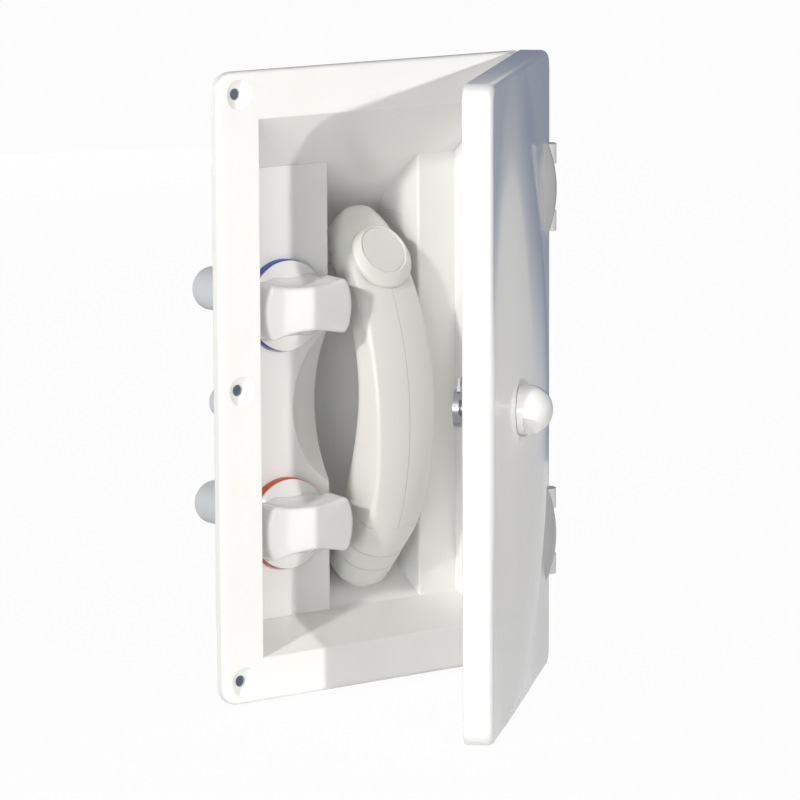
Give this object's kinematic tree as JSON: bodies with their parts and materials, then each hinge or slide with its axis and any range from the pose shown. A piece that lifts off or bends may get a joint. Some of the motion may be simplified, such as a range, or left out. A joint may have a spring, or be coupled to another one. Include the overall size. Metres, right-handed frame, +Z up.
{
  "type": "recessed garden shower",
  "caption": "Recessed wall box with a hinged door, a cold and a hot tap on a side panel, and a curved push-button hand shower stowed in a deep bay.",
  "frame": {"origin": "middle of the six screw holes, on the back face of the faceplate, which lies on the wall", "axes": "+X right, +Y into the wall, +Z up"},
  "size_m": [0.2157, 0.263, 0.3438],
  "materials": {
    "box white plastic": "smooth moulded, slight gloss",
    "door white plastic": "high gloss moulded",
    "hand shower plastic": "satin moulded, warm off-white",
    "knob white plastic": "satin moulded",
    "cold blue plastic": "moulded in colour",
    "hot red plastic": "moulded in colour",
    "pipe grey plastic": "moulded, matt",
    "seal rubber": "soft black rubber",
    "brass": "machined",
    "stainless steel": "machined",
    "chrome": "polished",
    "inner plastic": "moulded"
  },
  "bodies": {
    "box": {"housing": "box white plastic", "faceplate_gasket": "seal rubber", "handset_bay": "box white plastic", "rest_pad": "seal rubber", "hose_gland": "box white plastic", "tap_panel": "box white plastic", "mixer_body": "inner plastic", "cold_inlet": "pipe grey plastic", "hot_inlet": "pipe grey plastic", "mixed_outlet": "pipe grey plastic", "cold_valve": "brass", "hot_valve": "brass", "cold_valve_nut": "brass", "hot_valve_nut": "brass", "cold_ring": "cold blue plastic", "hot_ring": "hot red plastic", "upper_hinge_pin": "stainless steel", "lower_hinge_pin": "stainless steel"},
    "door": {"door_shell": "door white plastic", "door_liner": "door white plastic", "door_seal": "seal rubber", "upper_hinge_cover": "door white plastic", "lower_hinge_cover": "door white plastic", "latch_bush": "chrome"},
    "latch": {"latch_knob": "knob white plastic", "latch_shaft": "stainless steel", "latch_cam": "chrome", "latch_screw": "stainless steel"},
    "cold_tap": {"cold_knob": "knob white plastic", "cold_spindle": "brass"},
    "hot_tap": {"hot_knob": "knob white plastic", "hot_spindle": "brass"},
    "hand_shower": {"handset_left_shell": "hand shower plastic", "handset_right_shell": "hand shower plastic", "button_bezel": "hand shower plastic", "handset_valve": "inner plastic", "button_spring": "stainless steel", "spray_plate": "inner plastic", "water_tube": "inner plastic", "tail_collar": "hand shower plastic", "tail_end": "hand shower plastic"},
    "button": {"spray_button": "hand shower plastic"}
  },
  "joints": [
    {"name": "door_hinge", "type": "hinge", "parent": "box", "child": "door", "pos_m": [0.1035, -0.0195, 0], "axis": [0, 0, 1], "range_deg": [-43, 67]},
    {"name": "latch_turn", "type": "hinge", "parent": "door", "child": "latch", "pos_m": [-0.0133, -0.14278, 0], "axis": [0.682, -0.7314, 0], "range_deg": [0, 90]},
    {"name": "cold_tap_turn", "type": "hinge", "parent": "box", "child": "cold_tap", "pos_m": [-0.04, 0.015, 0.038], "axis": [0, -1, 0], "range_deg": [0, 90]},
    {"name": "hot_tap_turn", "type": "hinge", "parent": "box", "child": "hot_tap", "pos_m": [-0.04, 0.015, -0.082], "axis": [0, -1, 0], "range_deg": [0, 90]},
    {"name": "hand_shower_lift", "type": "slide", "parent": "box", "child": "hand_shower", "axis": [0, -1, 0], "range_m": [0, 0.05]},
    {"name": "button_press", "type": "slide", "parent": "hand_shower", "child": "button", "axis": [0, 0.8443, -0.5358], "range_m": [0, 0.0025], "stiffness_N_per_m": 400, "springref_m": -0.002, "deforming": ["button_spring"]}
  ]
}
